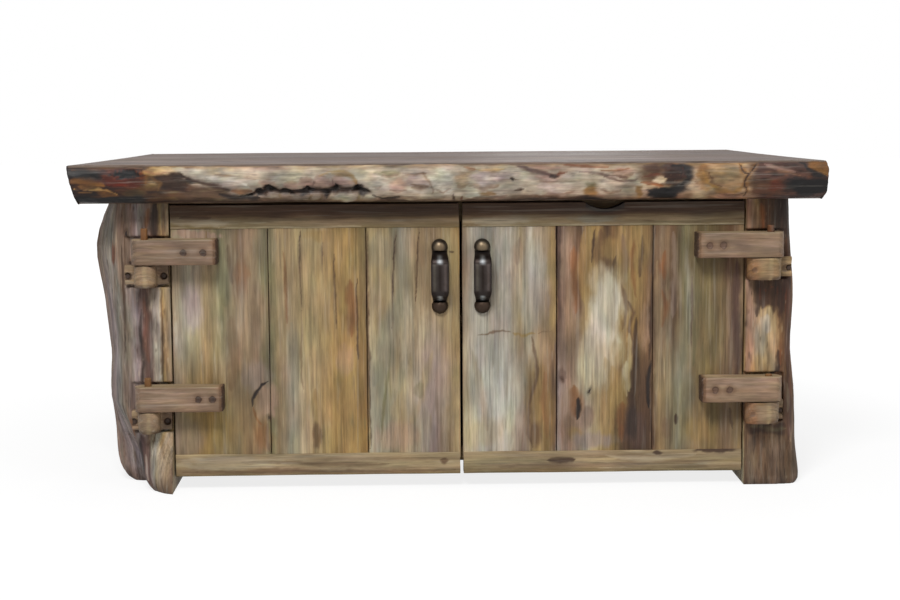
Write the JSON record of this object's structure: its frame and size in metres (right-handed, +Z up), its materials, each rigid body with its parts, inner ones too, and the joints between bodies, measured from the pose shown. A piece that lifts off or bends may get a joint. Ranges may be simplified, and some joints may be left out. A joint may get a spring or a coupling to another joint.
{
  "type": "tv stand with doors",
  "caption": "Low rustic cabinet with a live-edge slab top on log sides, a shelf inside, and planked doors that swing on carved wooden pintle hinges.",
  "frame": {"origin": "on the floor, under the middle of the slab's length and depth", "axes": "+X to the right along the slab, +Y from the doors to the back, +Z up"},
  "size_m": [1.4, 0.575, 0.62],
  "materials": {
    "slab_wood": "oiled, live edge",
    "log_wood": "weathered, natural outer face",
    "plank_wood": "weathered, satin",
    "rail_wood": "weathered, satin",
    "hinge_wood": "carved, satin",
    "inner_wood": "planed, matt",
    "dowel_wood": "satin",
    "dark_bronze": "antiqued, satin",
    "dull_steel": "dull"
  },
  "bodies": {
    "carcass": {"top_slab": "slab_wood", "left_side_slab": "log_wood", "right_side_slab": "log_wood", "bottom_board_front": "inner_wood", "bottom_board_middle": "inner_wood", "bottom_board_back": "inner_wood", "shelf_board_front": "inner_wood", "shelf_board_back": "inner_wood", "back_board_1": "inner_wood", "back_board_2": "inner_wood", "back_board_3": "inner_wood", "back_board_4": "inner_wood", "back_board_5": "inner_wood", "front_top_rail": "rail_wood", "back_top_rail": "rail_wood", "left_top_cleat": "inner_wood", "right_top_cleat": "inner_wood", "cleat_screws": "dull_steel", "back_nails": "dull_steel", "left_upper_knuckle": "hinge_wood", "left_lower_knuckle": "hinge_wood", "right_upper_knuckle": "hinge_wood", "right_lower_knuckle": "hinge_wood", "left_upper_pin": "dowel_wood", "left_lower_pin": "dowel_wood", "right_upper_pin": "dowel_wood", "right_lower_pin": "dowel_wood", "knuckle_screws": "dull_steel", "left_catch": "dark_bronze", "right_catch": "dark_bronze"},
    "left_door": {"left_door_plank_outer": "plank_wood", "left_door_plank_middle": "plank_wood", "left_door_plank_inner": "plank_wood", "left_door_top_rail": "rail_wood", "left_door_bottom_rail": "rail_wood", "left_upper_strap": "hinge_wood", "left_lower_strap": "hinge_wood", "left_strap_screws": "dull_steel", "left_pull_grip": "dark_bronze", "left_pull_domes": "dark_bronze", "left_strike": "dull_steel"},
    "right_door": {"right_door_plank_inner": "plank_wood", "right_door_plank_middle": "plank_wood", "right_door_plank_outer": "plank_wood", "right_door_top_rail": "rail_wood", "right_door_bottom_rail": "rail_wood", "right_upper_strap": "hinge_wood", "right_lower_strap": "hinge_wood", "right_strap_screws": "dull_steel", "right_pull_grip": "dark_bronze", "right_pull_domes": "dark_bronze", "right_strike": "dull_steel"}
  },
  "joints": [
    {"name": "left_door_hinge", "type": "hinge", "parent": "carcass", "child": "left_door", "pos_m": [-0.565, -0.2325, 0.3], "axis": [0, 0, 1], "range_deg": [-170, 0]},
    {"name": "right_door_hinge", "type": "hinge", "parent": "carcass", "child": "right_door", "pos_m": [0.604, -0.2325, 0.3], "axis": [0, 0, 1], "range_deg": [0, 170]}
  ]
}
